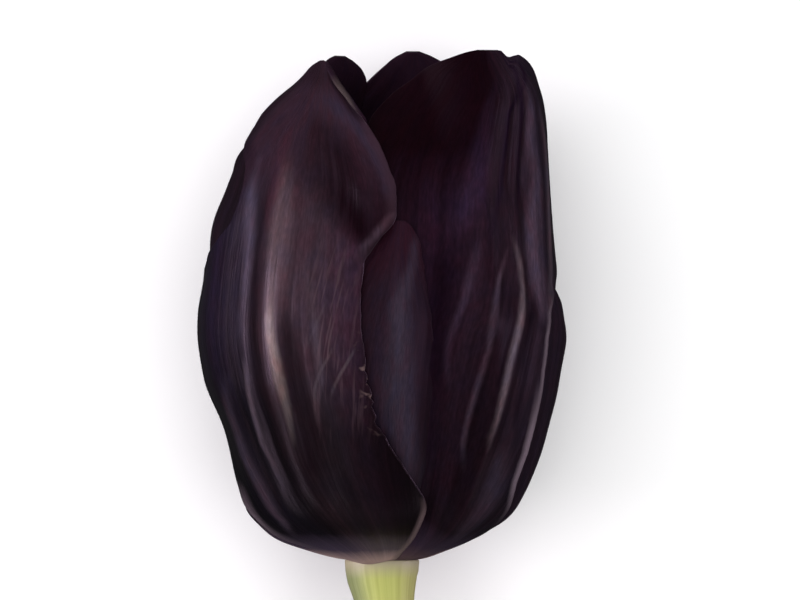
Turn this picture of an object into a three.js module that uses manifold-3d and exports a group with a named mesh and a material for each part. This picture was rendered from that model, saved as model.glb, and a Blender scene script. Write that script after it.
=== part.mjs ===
// A cut black tulip lying on a flat surface.
// Millimetres, +Z up. The flower's axis runs along +Y, so the bloom's tips point to +Y and the
// stem trails towards -Y until it lies on the surface. The bloom rests on its back tepal.
// Angles round the flower's axis are in degrees, from 0 at the top (+Z) through 90 at +X.
import * as THREE from 'three';
import { LoftGeometry } from 'three/addons/geometries/LoftGeometry.js';
import { mergeVertices } from 'three/addons/utils/BufferGeometryUtils.js';
import Module from 'manifold-3d';

const wasm = await Module();
wasm.setup();

// Driving dimensions
const bloomHeight = 62;          // from the receptacle's shoulder to the highest tip
const bellyRadius = 22.2;        // back of the cup, where it is widest
const restFlatDepth = 0.8;       // how far the resting belly is pressed flat
const tableLevel = -(bellyRadius - restFlatDepth);
const outerThickness = 0.9;      // tepals of the outer whorl, at the middle
const innerThickness = 0.8;      // tepals of the inner whorl, at the middle
const marginThickness = 0.6;     // every tepal, at its edge
const outerRidge = 0.35;         // height of the soft lengthwise ridges on each side of the midrib
const innerRidge = 0.2;
const innerDepth = 1.5;          // outer face of the inner whorl, below the cup's surface
const columnRadius = 2.85;       // receptacle column inside the tepals' feet
const columnTop = 2.7;
const shoulderRadius = 4.5;      // stem's flare just under the bloom
const stemRadius = 3.6;
const stemLength = 150;
const stemDropLength = 128;      // distance over which the stem sinks to the surface
const stemSideBend = 4.5;
const pistilHeight = 20;
const stamenCount = 6;
const footGap = 0.35;            // clearance at the feet of tepals, stamens and pistil

// Cup profile: height over the shoulder, then the radius at the right, top, left and back
const cupProfile = [
  [-0.05, 3.35, 3.35, 3.35, 3.35],
  [0.15, 4.9, 5.0, 5.1, 5.0],
  [1.2, 8.0, 8.6, 9.2, 8.6],
  [3.0, 12.4, 13.0, 13.8, 13.0],
  [6.0, 16.2, 16.4, 16.9, 16.4],
  [10.0, 18.6, 18.5, 18.0, 18.4],
  [15.7, 20.8, 20.6, 19.4, 20.4],
  [22.0, 22.3, 22.1, 21.5, 21.9],
  [28.0, 22.8, 22.5, 22.3, bellyRadius],
  [34.0, 21.3, 21.9, 21.9, 21.7],
  [41.2, 20.6, 20.2, 21.2, 20.4],
  [48.4, 20.2, 17.7, 18.9, 18.5],
  [54.5, 20.0, 14.0, 14.5, 15.7],
  [59.3, 19.9, 10.8, 10.0, 13.0],
  [bloomHeight, 19.8, 9.4, 8.8, 11.6],
];

const smooth = (x, from, to) => THREE.MathUtils.smoothstep(x, from, to);
const bump = (x, centre, reach) => Math.max(0, 1 - ((x - centre) / reach) ** 2) ** 2;

// A smooth curve through [x, value] knots that never swings past them
function knotCurve(knots) {
  const count = knots.length;
  const slopes = [];
  for (let i = 0; i < count - 1; i++) {
    slopes.push((knots[i + 1][1] - knots[i][1]) / (knots[i + 1][0] - knots[i][0]));
  }
  const tangents = knots.map((knot, i) => {
    if (i === 0) return slopes[0];
    if (i === count - 1) return slopes[count - 2];
    const before = slopes[i - 1];
    const after = slopes[i];
    return before * after <= 0 ? 0 : (2 * before * after) / (before + after);
  });
  return (x) => {
    let i = 0;
    while (i < count - 2 && x > knots[i + 1][0]) i++;
    const span = knots[i + 1][0] - knots[i][0];
    const q = THREE.MathUtils.clamp((x - knots[i][0]) / span, 0, 1);
    const rise = q * q * (3 - 2 * q);
    return knots[i][1] * (1 - rise) + knots[i + 1][1] * rise
      + span * q * (1 - q) * ((1 - q) * tangents[i] - q * tangents[i + 1]);
  };
}

// The cup's surface: one curve for the height and one for each side's radius, along the profile
const profileLengths = [0];
for (let i = 1; i < cupProfile.length; i++) {
  const [low, high] = [cupProfile[i - 1], cupProfile[i]];
  profileLengths.push(profileLengths[i - 1] + Math.hypot(high[0] - low[0], high[2] - low[2]));
}
const profileEnd = profileLengths[profileLengths.length - 1];
const profileCurves = [0, 1, 2, 3, 4].map(
  (column) => knotCurve(cupProfile.map((row, i) => [profileLengths[i] / profileEnd, row[column]])),
);
const [heightAlong, rightAlong, topAlong, leftAlong, backAlong] = profileCurves;

function cupRadius(along, degrees) {
  const angle = THREE.MathUtils.degToRad(degrees);
  const [right, top, left, back] = [rightAlong, topAlong, leftAlong, backAlong].map((f) => f(along));
  return (right + top + left + back) / 4
    + ((right - left) / 2) * Math.sin(angle)
    + ((top - back) / 2) * Math.cos(angle)
    + ((top + back - right - left) / 4) * Math.cos(2 * angle);
}

function alongAtHeight(height) {
  let [low, high] = [0, 1];
  for (let step = 0; step < 40; step++) {
    const middle = (low + high) / 2;
    if (heightAlong(middle) < height) low = middle;
    else high = middle;
  }
  return (low + high) / 2;
}

// A point at a depth under the cup's surface, measured square to its profile
function cupPoint(along, degrees, depth) {
  const step = 0.002;
  const [low, high] = [Math.max(0, along - step), Math.min(1, along + step)];
  const radiusSlope = cupRadius(high, degrees) - cupRadius(low, degrees);
  const heightSlope = heightAlong(high) - heightAlong(low);
  const length = Math.hypot(radiusSlope, heightSlope);
  const radius = cupRadius(along, degrees) - (depth * heightSlope) / length;
  const height = heightAlong(along) + (depth * radiusSlope) / length;
  const angle = THREE.MathUtils.degToRad(degrees);
  return new THREE.Vector3(radius * Math.sin(angle), height, radius * Math.cos(angle));
}

// Each tepal is the stretch of the cup between two margins, given as [height, degrees] from its
// foot to its tip. Its own rise lifts or tucks it, in millimetres, by height and angle.
const tepals = {
  outer_tepal_left: {
    whorl: 'outer',
    from: [[-0.05, -50], [1.2, -59], [3.6, -73], [8.5, -78], [13, -97], [20, -107], [28, -109],
      [34, -105], [37.6, -94], [40.6, -69], [43, -61], [47.8, -64], [51.5, -74], [55, -80],
      [58, -72], [59.8, -60], [60.4, -53]],
    to: [[-0.05, 24], [3.6, 18], [6.4, 18.5], [7.6, 15.5], [10.9, 7.3], [14.5, 2], [17, -1.7],
      [24, -5], [31.5, -6.5], [36, -5.5], [38.6, -0.5], [41.4, 4.8], [44, 5], [47.2, 2.8],
      [51.2, -3], [55.3, -16], [58.1, -31], [59.8, -43], [60.4, -49]],
    rise: (height, degrees) => 0.9 * bump(height, 45, 12) * smooth(degrees, -25, 0)
      + 0.6 * bump(height, 43, 8) * (1 - smooth(degrees, -78, -55))
      + 0.8 * smooth(height, 54, 60) * smooth(degrees, -75, -60),
  },
  outer_tepal_right: {
    whorl: 'outer',
    from: [[-0.05, 29], [2, 26], [3.6, 21], [5, 15], [8, 8], [12, 1], [20, -5], [30, -8],
      [40, -10], [48, -11], [53, -7], [56.2, 5], [57.8, 15], [60.2, 27], [61.5, 35], [61.9, 41]],
    to: [[-0.05, 68], [2, 80], [4, 88], [6, 84], [8.5, 70], [12, 63], [20, 62], [27, 62],
      [31.5, 71], [33.5, 84], [36, 95], [40, 100], [45, 98], [51, 92], [55.1, 83], [57.4, 76],
      [59, 71], [60.2, 66], [61.3, 60], [61.9, 49]],
    rise: (height, degrees) => -2.9 * smooth(height, 2, 5) * (1 - smooth(degrees, 22, 40))
      + 2.3 * smooth(height, 44, 60) * bump(degrees, 52, 42),
  },
  outer_tepal_back: {
    whorl: 'outer',
    from: [[-0.05, 122], [8, 122], [15, 120], [25, 117], [35, 119], [45, 126], [52, 134],
      [57, 141], [59.8, 148.5], [61.2, 155], [61.9, 161]],
    to: [[-0.05, 238], [8, 241], [25, 243], [35, 240], [45, 230], [52, 214], [56, 198],
      [58.4, 187], [59.9, 180], [61.2, 173], [61.9, 167]],
    rise: () => 0,
  },
  inner_tepal_front: {
    whorl: 'inner',
    from: [[-0.05, -20], [5, -20], [12, -26], [20, -29], [28, -26], [34, -18], [38, -8],
      [40.5, 0.5], [41.3, 4.5]],
    to: [[-0.05, 10], [5, 14], [7.8, 18], [12, 19.4], [19.4, 19.4], [28, 17.8], [35, 15.8],
      [38.8, 14.2], [40.6, 11.5], [41.3, 8.5]],
    rise: (height, degrees) => 0.35 * bump(degrees, 9, 9) * smooth(height, 8, 16),
  },
  inner_tepal_left: {
    whorl: 'inner',
    from: [[-0.05, -160], [15, -160], [35, -161], [48, -164], [55, -168], [58.8, -170],
      [60.4, -165], [61.3, -157], [61.9, -147]],
    to: [[-0.05, -74], [5, -70], [15, -71], [25, -70], [42, -68], [48, -74], [52, -84],
      [57, -101], [60, -116], [61.4, -126], [61.9, -134]],
    rise: (height, degrees) => 1.1 * bump(height, 6.5, 6) * bump(degrees, -97, 32),
  },
  inner_tepal_right: {
    whorl: 'inner',
    from: [[-0.05, 72], [15, 70], [25, 68], [35, 70], [45, 76], [52, 87], [56, 100],
      [57.6, 112], [58, 118]],
    to: [[-0.05, 160], [25, 161], [45, 157], [52, 150], [56, 140], [57.6, 130], [58, 124]],
    rise: (height, degrees) => 1.6 * bump(height, 18, 17) * bump(degrees, 92, 28),
  },
};

const facetsAcross = 12;
const facetsAlong = 27;
const footCrowding = 1.4;        // rows lie closer towards the foot
const tipCrowding = 1.7;         // and towards the tip
const footRounding = 0.006;      // share of the profile in which a foot gets its full thickness

// Both faces of a tepal run round each row and meet in one line at its foot and at its tip
function tepalGeometry(tepal) {
  const margins = [knotCurve(tepal.from), knotCurve(tepal.to)];
  const tipHeight = tepal.to[tepal.to.length - 1][0];
  const tipAlong = alongAtHeight(tipHeight);
  const isOuter = tepal.whorl === 'outer';
  const layerDepth = isOuter ? 0 : innerDepth;
  const middleThickness = isOuter ? outerThickness : innerThickness;
  const ridgeHeight = isOuter ? outerRidge : innerRidge;
  const rows = [0];
  for (let row = 0; row <= facetsAlong; row++) {
    const share = 1 - (1 - (row / facetsAlong) ** footCrowding) ** tipCrowding;
    rows.push(THREE.MathUtils.lerp(footRounding, tipAlong, share));
  }
  const sections = rows.map((along, row) => {
    const height = heightAlong(along);
    const [start, end] = margins.map((margin) => margin(height));
    const isEnd = row === 0 || row === rows.length - 1;
    const outside = [];
    const inside = [];
    for (let column = 0; column <= facetsAcross; column++) {
      const across = (2 * column) / facetsAcross - 1;
      const degrees = (start + end) / 2 + ((end - start) / 2) * across;
      const thickness = THREE.MathUtils.lerp(middleThickness, marginThickness, across ** 4);
      const ridge = ridgeHeight * smooth(height, 3, 14) * (1 - across ** 2)
        * (0.5 - 0.5 * Math.cos(3 * Math.PI * across));
      const depth = layerDepth - tepal.rise(height, degrees) - ridge;
      const outer = cupPoint(along, degrees, isEnd ? depth + thickness / 2 : depth);
      const inner = cupPoint(along, degrees, isEnd ? depth + thickness / 2 : depth + thickness);
      outer.z = Math.max(outer.z, tableLevel);
      inner.z = Math.max(inner.z, isEnd ? tableLevel : tableLevel + thickness);
      outside.push(outer);
      inside.unshift(inner);
    }
    return [...outside, ...inside];
  });
  return new LoftGeometry(sections);
}

// A tube of rings round a row of centres, each ring square to the row there. Its radius is given
// by the ring's number and the angle from the upward side.
function tube(centres, radiusAt, sides, upward) {
  const last = centres.length - 1;
  const sections = centres.map((centre, i) => {
    const ahead = centres[Math.min(last, i + 1)].clone().sub(centres[Math.max(0, i - 1)]).normalize();
    const sideways = new THREE.Vector3().crossVectors(ahead, upward).normalize();
    const up = new THREE.Vector3().crossVectors(sideways, ahead);
    return Array.from({ length: sides }, (unused, side) => {
      const angle = ((side + 0.5) / sides) * 2 * Math.PI;
      const radius = radiusAt(i, angle);
      return centre.clone()
        .addScaledVector(up, radius * Math.cos(angle))
        .addScaledVector(sideways, radius * Math.sin(angle));
    });
  });
  return new LoftGeometry(sections, { capStart: true, capEnd: true });
}

// The stem runs from its cut end up to the shoulder and on into the receptacle's column. It sinks
// to the surface in one slow bend and lies there on one of its flat sides.
const stemSides = 16;
const flareLength = 6;
const bareSteps = 20;

function stemCentre(height) {
  const lyingHeight = tableLevel + stemRadius * Math.cos(Math.PI / stemSides);
  const gone = THREE.MathUtils.clamp((-height - 2) / stemDropLength, 0, 1);
  return new THREE.Vector3(
    stemSideBend * Math.sin(0.9 * Math.PI * gone),
    height,
    lyingHeight * smooth(gone, 0, 1),
  );
}

function stemGeometry() {
  const shoulderHeight = -footGap;
  const stations = [];
  for (let step = 0; step <= bareSteps; step++) {
    const height = THREE.MathUtils.lerp(-stemLength, -flareLength, step / bareSteps);
    stations.push([height, stemRadius]);
  }
  for (const height of [-5, -3.2, -1.8, -0.9, shoulderHeight]) {
    const flare = smooth(height, -flareLength, shoulderHeight);
    stations.push([height, THREE.MathUtils.lerp(stemRadius, shoulderRadius, flare)]);
  }
  stations.push([shoulderHeight + 0.25, columnRadius], [columnTop, columnRadius]);
  return tube(
    stations.map(([height]) => stemCentre(height)),
    (i) => stations[i][1],
    stemSides, new THREE.Vector3(0, 0, 1),
  );
}

// The ovary has three blunt sides, and its stigma spreads in three lobes
function pistilGeometry() {
  const foot = columnTop + footGap;
  const radii = knotCurve([[0, 1.4], [0.09, 1.5], [0.18, 2.4], [0.35, 2.9], [0.7, 2.6],
    [0.84, 1.9], [0.92, 3.1], [0.97, 3.3], [1, 2.2]]);
  const lobes = knotCurve([[0, 0], [0.3, 0.1], [0.8, 0.14], [0.92, 0.3], [1, 0.4]]);
  const rings = 16;
  const sides = 18;
  const sections = [];
  for (let ring = 0; ring <= rings; ring++) {
    const q = ring / rings;
    const section = [];
    for (let side = 0; side < sides; side++) {
      const angle = (side / sides) * 2 * Math.PI;
      const radius = radii(q) * (1 + lobes(q) * Math.cos(3 * angle));
      section.push(new THREE.Vector3(
        radius * Math.sin(angle), foot + q * pistilHeight, radius * Math.cos(angle),
      ));
    }
    sections.push(section);
  }
  return new LoftGeometry(sections, { capStart: true, capEnd: true });
}

function toSolid(geometry) {
  const bare = new THREE.BufferGeometry();
  bare.setAttribute('position', geometry.attributes.position);
  bare.setIndex(geometry.index);
  const merged = mergeVertices(bare, 1e-3);
  return new wasm.Manifold(new wasm.Mesh({
    numProp: 3,
    vertProperties: new Float32Array(merged.attributes.position.array),
    triVerts: new Uint32Array(merged.index.array),
  }));
}

function toGeometry(solid) {
  const mesh = solid.getMesh();
  const geometry = new THREE.BufferGeometry();
  geometry.setAttribute('position', new THREE.BufferAttribute(mesh.vertProperties, 3));
  geometry.setIndex(new THREE.BufferAttribute(mesh.triVerts, 1));
  geometry.computeVertexNormals();
  return geometry;
}

// Six stamens grow out of one ring round the ovary's foot, and each carries an upright anther
function stamensGeometry() {
  const ring = { inner: 1.9, outer: 2.9, bottom: columnTop + footGap, height: 0.8 };
  const filament = { footRadius: 0.9, topRadius: 0.45, footReach: 2.4, topReach: 4.7, top: 12.5 };
  const anther = { length: 9, radius: 1.25, reach: 5.1, lean: 0.3, sink: 1 };
  const stalkRows = [0, 0.2, 0.4, 0.6, 0.8, 1];
  const podRows = [0, 0.12, 0.3, 0.5, 0.7, 0.88, 1];
  const ringTop = ring.bottom + ring.height;
  const collar = [
    [ring.inner, ring.bottom], [ring.outer, ring.bottom], [ring.outer, ringTop],
    [ring.inner, ringTop], [ring.inner, ring.bottom],
  ];
  let solid = toSolid(new THREE.LatheGeometry(collar.map(([x, y]) => new THREE.Vector2(x, y)), 24));
  for (let i = 0; i < stamenCount; i++) {
    const turn = ((i + 0.5) / stamenCount) * 2 * Math.PI;
    const outward = new THREE.Vector3(Math.sin(turn), 0, Math.cos(turn));
    const place = (reach, height) => outward.clone().multiplyScalar(reach).setY(height);
    const stalk = tube(
      stalkRows.map((q) => place(
        THREE.MathUtils.lerp(filament.footReach, filament.topReach, Math.sin((q * Math.PI) / 2)),
        THREE.MathUtils.lerp(ring.bottom + ring.height / 2, filament.top, q),
      )),
      (row) => THREE.MathUtils.lerp(filament.footRadius, filament.topRadius, stalkRows[row]),
      8, outward,
    );
    const pod = tube(
      podRows.map((q) => place(
        anther.reach + anther.lean * q,
        filament.top - anther.sink + q * anther.length,
      )),
      (row, angle) => anther.radius * Math.sqrt(Math.max(0.08, 1 - (2 * podRows[row] - 1) ** 4))
        * (0.86 + 0.14 * Math.cos(2 * angle)),
      8, outward,
    );
    solid = solid.add(toSolid(stalk)).add(toSolid(pod));
  }
  return toGeometry(solid);
}

function addPiece(group, name, geometry, color, roughness) {
  const material = new THREE.MeshStandardMaterial({ color, roughness, metalness: 0 });
  const mesh = new THREE.Mesh(geometry, material);
  mesh.name = name;
  group.add(mesh);
}

const flower = new THREE.Group();
const tepalColors = { outer: 0x2a1a2c, inner: 0x24121f };
for (const [name, tepal] of Object.entries(tepals)) {
  addPiece(flower, name, tepalGeometry(tepal), tepalColors[tepal.whorl], 0.5);
}
addPiece(flower, 'stem', stemGeometry(), 0xb4b069, 0.5);
addPiece(flower, 'pistil', pistilGeometry(), 0xb9b684, 0.55);
addPiece(flower, 'stamens', stamensGeometry(), 0x17101c, 0.8);

// The origin is on the surface, under the middle of the whole flower's box
flower.updateMatrixWorld(true);
const box = new THREE.Box3().setFromObject(flower, true);
const centre = box.getCenter(new THREE.Vector3());
flower.position.set(-centre.x, -centre.y, -box.min.z);

export default flower;
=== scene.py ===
import bisect
import math
import bmesh
import bpy
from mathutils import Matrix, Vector, noise


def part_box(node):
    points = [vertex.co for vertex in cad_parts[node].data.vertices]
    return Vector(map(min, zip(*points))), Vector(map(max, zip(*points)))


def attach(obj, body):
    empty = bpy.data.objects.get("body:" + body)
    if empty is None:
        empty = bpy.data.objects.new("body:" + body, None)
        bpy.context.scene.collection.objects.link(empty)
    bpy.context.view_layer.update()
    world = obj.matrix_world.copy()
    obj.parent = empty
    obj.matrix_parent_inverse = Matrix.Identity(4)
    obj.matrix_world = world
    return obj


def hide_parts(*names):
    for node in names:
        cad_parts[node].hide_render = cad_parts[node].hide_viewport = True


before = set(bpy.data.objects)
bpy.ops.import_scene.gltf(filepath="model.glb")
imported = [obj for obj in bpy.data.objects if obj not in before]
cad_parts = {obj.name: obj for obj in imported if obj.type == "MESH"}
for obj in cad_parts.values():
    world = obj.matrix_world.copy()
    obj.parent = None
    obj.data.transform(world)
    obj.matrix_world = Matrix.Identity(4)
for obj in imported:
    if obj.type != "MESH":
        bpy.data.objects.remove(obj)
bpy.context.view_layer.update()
mm = 0.001

# The flower's own axis in the frame: along +Y from the stem's shoulder, with 0 degrees upwards
bloom = {
    "height": 62.0,      # mm, from the stem's shoulder to the highest tip
    "belly": 22.2,       # radius at the back, where it is widest
    "restFlat": 0.8,     # how far the belly is pressed flat
    "columnTop": 2.7,    # top of the stem's column, inside the tepals' feet
    "outwards": (38, 50),    # heights between which a rise turns straight outwards
}
pistilLow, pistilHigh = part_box("pistil")
axisStart = Vector((
    (pistilLow.x + pistilHigh.x) / 2,
    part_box("stem")[1].y - bloom["columnTop"] * mm,
    (bloom["belly"] - bloom["restFlat"]) * mm,
))
tableLevel = bloom["restFlat"] - bloom["belly"]
straight = Vector((0, 1, 0))


def smooth(x, start, end):
    t = min(1.0, max(0.0, (x - start) / (end - start)))
    return t * t * (3 - 2 * t)


def bump(x, centre, reach):
    return max(0.0, 1 - ((x - centre) / reach) ** 2) ** 2


def blend(a, b, t):
    return a + (b - a) * t


def noiseAt(x, y, z):
    return noise.noise(Vector((x, y, z)))


def knotCurve(knots):
    # a smooth curve through (x, value) knots that never swings past them
    xs = [k[0] for k in knots]
    ys = [k[1] for k in knots]
    slopes = [(b - a) / (q - p) for a, b, p, q in zip(ys, ys[1:], xs, xs[1:])]
    tangents = [slopes[0]]
    for before, after in zip(slopes, slopes[1:]):
        tangents.append(0 if before * after <= 0 else 2 * before * after / (before + after))
    tangents.append(slopes[-1])

    def value(x):
        i = min(len(xs) - 2, max(0, bisect.bisect_right(xs, x) - 1))
        span = xs[i + 1] - xs[i]
        q = min(1.0, max(0.0, (x - xs[i]) / span))
        return (blend(ys[i], ys[i + 1], smooth(q, 0, 1))
                + span * q * (1 - q) * ((1 - q) * tangents[i] - q * tangents[i + 1]))
    return value


# The camera looks straight down on the flower, so that the picture frames it as the photo does
print("stage and camera")
view = {
    "width": 800, "height": 600,
    "pixel": 0.1211,         # mm on the flower
    "axisPixel": 382,        # column of the flower's axis
    "shoulderPixel": 560,    # row of the stem's shoulder
    "lens": 500, "sensor": 36,
}
camera = bpy.data.objects.new("camera", bpy.data.cameras.new("camera"))
bpy.context.scene.collection.objects.link(camera)
camera.data.lens = view["lens"]
camera.data.sensor_width = view["sensor"]
camera.data.clip_start = 0.01
camera.location = axisStart + Vector((
    (view["width"] / 2 - view["axisPixel"]) * view["pixel"],
    (view["shoulderPixel"] - view["height"] / 2) * view["pixel"],
    view["width"] * view["pixel"] / view["sensor"] * view["lens"],
)) * mm
bpy.context.scene.camera = camera

# Cup profile: height over the shoulder, then the radius at the right, top, left and back
cupProfile = [
    (-0.05, 3.35, 3.35, 3.35, 3.35),
    (0.15, 4.9, 5.0, 5.1, 5.0),
    (1.2, 8.0, 8.6, 9.2, 8.6),
    (3.0, 12.4, 13.0, 13.8, 13.0),
    (6.0, 16.2, 16.4, 16.9, 16.4),
    (10.0, 18.6, 18.5, 18.0, 18.4),
    (15.7, 20.8, 20.6, 19.4, 20.4),
    (22.0, 22.3, 22.1, 21.5, 21.9),
    (28.0, 22.8, 22.5, 22.3, bloom["belly"]),
    (34.0, 21.3, 21.9, 21.9, 21.7),
    (41.2, 20.6, 20.2, 21.2, 20.4),
    (48.4, 20.2, 17.7, 18.9, 18.5),
    (54.5, 20.0, 14.0, 14.5, 15.7),
    (59.3, 19.9, 10.8, 10.0, 13.0),
    (bloom["height"], 19.8, 9.4, 8.8, 11.6),
]
profileLengths = [0.0]
for low, high in zip(cupProfile, cupProfile[1:]):
    profileLengths.append(profileLengths[-1] + math.hypot(high[0] - low[0], high[2] - low[2]))
profileShares = [length / profileLengths[-1] for length in profileLengths]
heightAlong, rightAlong, topAlong, leftAlong, backAlong = [
    knotCurve([(share, row[column]) for share, row in zip(profileShares, cupProfile)])
    for column in range(5)
]


def cupRow(along):
    # height, the four sides' radii, and how fast they change along the profile
    step = 0.002
    low, high = max(0.0, along - step), min(1.0, along + step)
    sides = (rightAlong, topAlong, leftAlong, backAlong)
    return {
        "height": heightAlong(along),
        "radii": [side(along) for side in sides],
        "heightSlope": heightAlong(high) - heightAlong(low),
        "radiusSlopes": [side(high) - side(low) for side in sides],
    }


def aroundCup(sides, angle):
    right, top, left, back = sides
    return ((right + top + left + back) / 4
            + (right - left) / 2 * math.sin(angle)
            + (top - back) / 2 * math.cos(angle)
            + (top + back - right - left) / 4 * math.cos(2 * angle))


def cupPoint(row, degrees, layer, rise):
    # a point in a layer under the cup's surface, raised square to its profile, in the flower's mm
    angle = math.radians(degrees)
    radiusSlope = aroundCup(row["radiusSlopes"], angle)
    length = math.hypot(radiusSlope, row["heightSlope"])
    depth = layer - rise
    radius = aroundCup(row["radii"], angle) - depth * row["heightSlope"] / length
    # towards the tips a rise goes straight outwards and doesn't lengthen the tepal
    lift = layer - rise * (1 - smooth(row["height"], *bloom["outwards"]))
    height = row["height"] + lift * radiusSlope / length
    return Vector((radius * math.sin(angle), height, radius * math.cos(angle)))


def alongAtHeight(height):
    # halves the profile until the place is far finer than a face
    low, high, halvings = 0.0, 1.0, 40
    for step in range(halvings):
        middle = (low + high) / 2
        low, high = (middle, high) if heightAlong(middle) < height else (low, middle)
    return (low + high) / 2


def makePiece(name, bm, node, materials):
    # turns a bmesh in the flower's mm into a piece in its place
    for vert in bm.verts:
        vert.co = axisStart + vert.co * mm
    mesh = bpy.data.meshes.new(name)
    bm.to_mesh(mesh)
    bm.free()
    mesh.shade_smooth()
    piece = bpy.data.objects.new(name, mesh)
    bpy.context.scene.collection.objects.link(piece)
    for material in materials:
        mesh.materials.append(material)
    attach(piece, "root")
    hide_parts(node)
    return piece


# Small helpers for node materials
def newMaterial(name):
    material = bpy.data.materials.new(name)
    material.use_nodes = True
    return material, material.node_tree.nodes


def plugIn(node, inputs):
    # sets numbers, vectors and colours on the node's inputs, and links anything else to them
    for key, value in inputs.items():
        socket = node.inputs[key]
        if isinstance(value, bpy.types.NodeSocket):
            node.id_data.links.new(value, socket)
        else:
            socket.default_value = (*value, 1) if socket.type == "RGBA" else value
    return node.outputs


def nodeFor(kind, *values):
    # a new node in the tree that the sockets among the values belong to
    tree = next(value.id_data for value in values if isinstance(value, bpy.types.NodeSocket))
    return tree.nodes.new("ShaderNode" + kind)


def uvPlace(nodes, name):
    node = nodes.new("ShaderNodeUVMap")
    node.uv_map = name
    return node.outputs["UV"]


def splitUp(vector):
    return plugIn(nodeFor("SeparateXYZ", vector), {"Vector": vector})


def stretchedNoise(vector, scale, detail):
    stretched = plugIn(nodeFor("Mapping", vector), {"Vector": vector, "Scale": scale})["Vector"]
    return plugIn(nodeFor("TexNoise", vector), {
        "Vector": stretched, "Scale": 1.0, "Detail": detail, "Roughness": 0.55,
    })["Fac"]


def colorRamp(factor, stops):
    ramp = nodeFor("ValToRGB", factor)
    elements = ramp.color_ramp.elements
    for i, (position, color) in enumerate(stops):
        element = elements[i] if i < 2 else elements.new(position)
        element.position = position
        element.color = (*color, 1)
    return plugIn(ramp, {"Fac": factor})["Color"]


def mixColors(factor, first, second, mode="MIX"):
    mix = nodeFor("Mix", factor, first, second)
    mix.data_type = "RGBA"
    mix.blend_type = mode
    return plugIn(mix, {0: factor, 6: first, 7: second})[2]    # its sockets for colours


def shaded(color, shade):
    return mixColors(1.0, color, shade, "MULTIPLY")


def mathNode(operation, first, second):
    node = nodeFor("Math", first, second)
    node.operation = operation
    return plugIn(node, {0: first, 1: second})[0]


def times(first, second):
    return mathNode("MULTIPLY", first, second)


def mapRange(value, source, target=(0, 1), soft=False):
    node = nodeFor("MapRange", value)
    node.interpolation_type = "SMOOTHSTEP" if soft else "LINEAR"
    return plugIn(node, {
        "Value": value, "From Min": source[0], "From Max": source[1],
        "To Min": target[0], "To Max": target[1],
    })["Result"]


def window(value, start, end, fade):
    # 1 between start and end, falling to 0 over the fade on both sides
    return times(mapRange(value, (start - fade, start + fade)),
                 mapRange(value, (end - fade, end + fade), (1, 0)))


def bumpNode(height, distance, strength, below=None):
    inputs = {"Height": height, "Distance": distance, "Strength": strength}
    return plugIn(nodeFor("Bump", height), {**inputs, "Normal": below} if below else inputs)["Normal"]


# Petal skin. Its UV map "veins" runs across the veins in U and up the flower in V, and its UV map
# "margin" holds the real distance in mm from the left and from the right margin.
skinScales = {
    "veinLength": 60,    # mm up the flower for 1 in V
    # paces of the noises across, along and through the petal
    "bands": (15, 0.9, 1), "tints": (17, 16, 1), "grain": (150, 48, 1),
    "glints": (30, 55, 1), "creases": (95, 7, 1), "creaseSlant": 16,
    "veinBump": 0.00014, "fineBump": 0.00004,
    # mm up the flower: the darker belly, the cream foot, and where the gloss changes
    "belly": (0, 40), "foot": (0, 9), "tipGloss": (36, 46), "footGloss": (7, 1),
    # start, end and fade of the torn stretch of a margin and of the creases beside it
    "torn": (16.5, 26, 2), "creased": (17, 36, 4), "creasedAcross": (0.69, 0.82, 0.04),
}


def petalColor(look, place, across, height, lines):
    # tones across the petal, broken up by bands and veins along it
    contrast = look["contrast"]
    shade = colorRamp(lines, [
        (0.36, (1 - 0.5 * contrast,) * 3), (0.5, (1, 1, 1)), (0.66, (1 + 0.8 * contrast,) * 3),
    ])
    color = shaded(colorRamp(across, look["tones"]), shade)
    # darker over the belly's lower part, and another tone towards the tip, which on the right outer
    # tepal is painted shade
    lowShade = colorRamp(mapRange(height, skinScales["belly"]), [
        (0.0, (1, 1, 1)), (0.10, (look["low"],) * 3), (0.38, (look["low"],) * 3), (0.74, (1, 1, 1)),
    ])
    color = shaded(color, lowShade)
    tipShare = times(mapRange(height, look["tipRange"], (0, look["tipShare"])),
                     mapRange(across, look["tipAcross"]))
    color = mixColors(tipShare, color, look["tip"])
    # soft streaks up the petal: some in its own tones, most of them painted highlights and painted
    # shade
    silk = mapRange(lines, (0.38, 0.60), (0.62, 1.12))
    for streakColor, *points in look["streaks"]:
        stops = [(point[0] / bloom["height"], point[1:]) for point in points]
        path = colorRamp(mapRange(height, (0, bloom["height"])), stops)
        middle, width, share = plugIn(nodeFor("SeparateColor", path), {"Color": path})
        away = mathNode("ABSOLUTE", mathNode("SUBTRACT", across, middle), 0)
        near = mapRange(mathNode("DIVIDE", away, width), (1, 0), soft=True)
        color = mixColors(times(times(near, share), silk), color, streakColor)
    # a cooler and a warmer tint in patches, and a fine grain
    tint = colorRamp(stretchedNoise(place, skinScales["tints"], 3), [
        (0.36, (0.90, 0.98, 1.08)), (0.5, (1, 1, 1)), (0.64, (1.12, 0.92, 0.93)),
    ])
    grain = colorRamp(stretchedNoise(place, skinScales["grain"], 2), [
        (0.36, (0.84,) * 3), (0.5, (1, 1, 1)), (0.64, (1.22,) * 3),
    ])
    color = shaded(shaded(color, tint), grain)
    # pinkish cream at the foot
    uneven = mathNode("ADD", height, mapRange(lines, (0.35, 0.65), (0.15, -0.15)))
    foot = colorRamp(mapRange(uneven, skinScales["foot"]), [
        (0.0, look["foot"]), (0.04, look["foot"]), (0.17, look["footRim"]), (0.38, (0, 0, 0)),
    ])
    return mixColors(1.0, color, foot, "ADD")


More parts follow.
